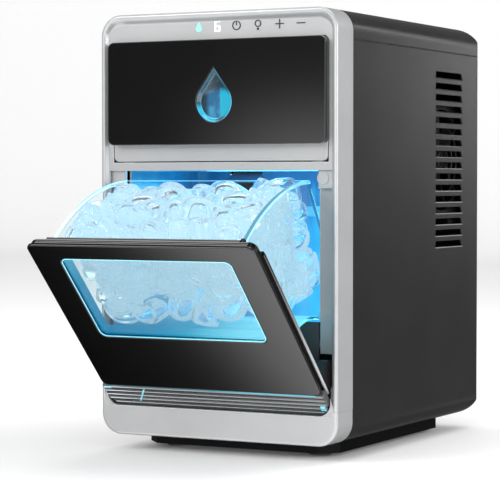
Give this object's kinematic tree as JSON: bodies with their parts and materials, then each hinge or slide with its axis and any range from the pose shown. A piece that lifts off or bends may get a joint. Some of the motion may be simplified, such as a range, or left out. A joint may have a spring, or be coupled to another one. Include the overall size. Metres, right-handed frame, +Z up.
{
  "type": "ice maker",
  "caption": "Countertop nugget ice maker: tilt-out door carrying a clear ice bin, pull-out water tank drawer with a drop window, side vents and an auger freezing unit inside.",
  "frame": {"origin": "middle of the bounding box's footprint, on the surface that the four rubber feet stand on, with the door open as at rest", "axes": "+X to the right seen from the front, -Y towards the front with the door, +Z up"},
  "size_m": [0.2572, 0.5138, 0.426],
  "materials": {
    "silver_plastic": "satin silver paint on moulded plastic",
    "black_shell": "satin black",
    "black_base": "fine moulded texture",
    "black_gloss": "high gloss black",
    "clear_bin": "clear polished",
    "clear_window": "clear polished",
    "clear_apron": "smoked clear ribbed acrylic",
    "drop_blue": "tinted blue, lit from behind",
    "tank_clear": "smoked clear",
    "liner_white": "smooth food-grade liner",
    "light_blue": "frosted, lit",
    "legend_grey": "printed legend",
    "legend_white": "lit legend",
    "status_cyan": "lit legend",
    "rubber_black": "matte",
    "steel": "brushed",
    "black_metal": "semi-gloss enamel",
    "motor_grey": "glass-filled plastic",
    "copper": "drawn copper",
    "circuit_green": "solder mask",
    "hose_clear": "milky silicone",
    "white_plastic": "smooth"
  },
  "bodies": {
    "cabinet": {"front_bezel": "silver_plastic", "lower_front_trim": "silver_plastic", "front_fascia": "silver_plastic", "door_jambs": "silver_plastic", "door_catches": "silver_plastic", "side_panel_left": "black_shell", "side_panel_right": "black_shell", "rear_panel": "black_shell", "top_cover": "black_shell", "base_plate": "black_base", "pedestal": "black_base", "door_cowl": "black_base", "dock_socket": "black_base", "fan_shroud": "black_base", "cavity_liner": "liner_white", "ice_chute": "liner_white", "light_bar": "liner_white", "light_lens": "light_blue", "touch_legend": "legend_grey", "display_digit": "legend_white", "status_light": "status_cyan", "rubber_feet": "rubber_black", "compressor_grommets": "rubber_black", "drain_plug": "rubber_black", "cord_gland": "rubber_black", "hinge_brackets": "steel", "drawer_rails": "steel", "rear_screws": "steel", "freezing_barrel": "steel", "extruder_head": "steel", "compressor": "black_metal", "gear_motor": "black_metal", "fan_guard": "black_metal", "condenser": "black_metal", "water_pump": "motor_grey", "fan_motor": "motor_grey", "copper_lines": "copper", "filter_drier": "copper", "evaporator_coil": "copper", "control_board": "circuit_green", "power_board": "circuit_green", "water_hose": "hose_clear", "drain_hose": "hose_clear", "drain_spigot": "white_plastic"},
    "bin_door": {"door_face_plate": "black_gloss", "door_window": "clear_window", "window_gasket": "rubber_black", "door_inner_frame": "black_base", "door_apron": "clear_apron", "ice_bin": "clear_bin", "hinge_arms": "black_base", "latch_stud": "black_base"},
    "water_drawer": {"drawer_front": "silver_plastic", "drawer_face_plate": "black_gloss", "drop_window": "drop_blue", "water_tank": "tank_clear"},
    "float_body": {"tank_float": "white_plastic"},
    "fan": {"fan_rotor": "motor_grey"},
    "auger_screw": {"auger": "steel"}
  },
  "joints": [
    {"name": "door_tilt", "type": "hinge", "parent": "cabinet", "child": "bin_door", "pos_m": [0, -0.09909, 0.062], "axis": [1, 0, 0], "range_deg": [-44, 0]},
    {"name": "drawer_slide", "type": "slide", "parent": "cabinet", "child": "water_drawer", "axis": [0, -1, 0], "range_m": [0, 0.14]},
    {"name": "float_rise", "type": "slide", "parent": "water_drawer", "child": "float_body", "axis": [0, 0, 1], "range_m": [0, 0.045]},
    {"name": "fan_spin", "type": "hinge", "parent": "cabinet", "child": "fan", "pos_m": [0.1106, 0.15891, 0.2863], "axis": [1, 0, 0], "continuous": true},
    {"name": "auger_spin", "type": "hinge", "parent": "cabinet", "child": "auger_screw", "pos_m": [-0.048, 0.14091, 0.196], "axis": [0, 0, 1], "continuous": true}
  ]
}
